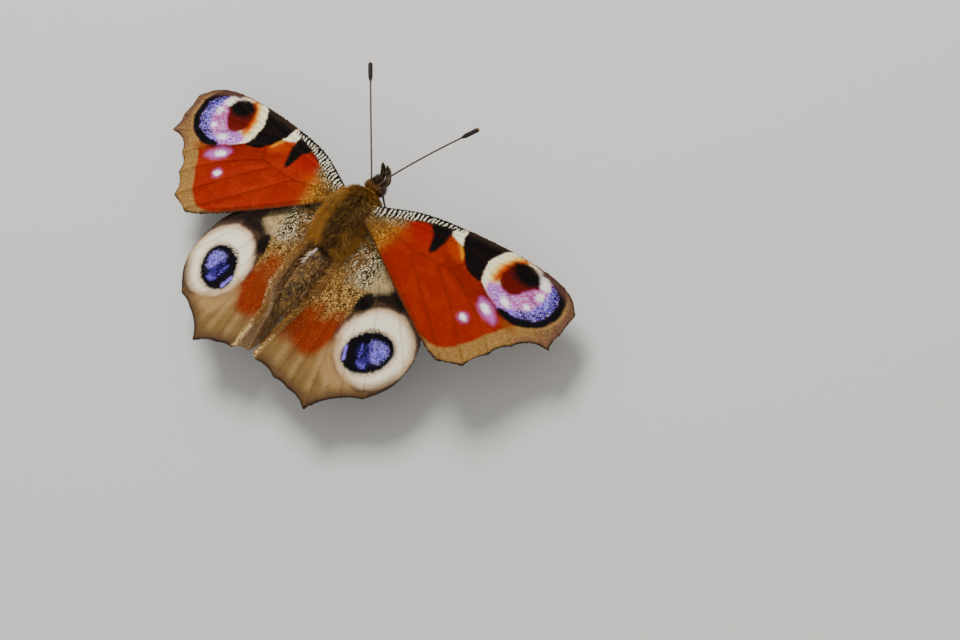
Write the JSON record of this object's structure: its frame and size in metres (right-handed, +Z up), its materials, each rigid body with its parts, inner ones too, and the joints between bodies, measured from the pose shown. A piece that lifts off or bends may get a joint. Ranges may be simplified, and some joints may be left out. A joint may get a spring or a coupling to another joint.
{
  "type": "peacock butterfly model",
  "caption": "Life-size still model of a peacock butterfly standing with its wings spread, hairy body, clubbed feelers and lowered tongue.",
  "frame": {"origin": "on the ground, under the middle of the whole butterfly's footprint", "axes": "+Z up, +Y towards the head, +X towards the butterfly's right wing tip"},
  "size_m": [0.0642, 0.0408, 0.0129],
  "materials": {
    "forewing_scales": "matt scales with a soft sheen",
    "hindwing_scales": "matt scales with a soft sheen",
    "body_hair": "silky golden brown hair",
    "head_scales": "dark hair and scales with pale flecks",
    "eye": "finely faceted, glossy",
    "antenna": "satin, finely ringed",
    "horn_brown": "satin",
    "leg": "scaled, satin"
  },
  "bodies": {
    "root": {"thorax": "body_hair", "abdomen": "body_hair", "head": "head_scales", "proboscis": "horn_brown", "eye_left": "eye", "eye_right": "eye", "palp_left": "head_scales", "palp_right": "head_scales", "antenna_left": "antenna", "antenna_right": "antenna", "forewing_left": "forewing_scales", "forewing_right": "forewing_scales", "hindwing_left": "hindwing_scales", "hindwing_right": "hindwing_scales", "foreleg_left": "leg", "foreleg_right": "leg", "midleg_left": "leg", "midleg_right": "leg", "hindleg_left": "leg", "hindleg_right": "leg"}
  },
  "joints": []
}
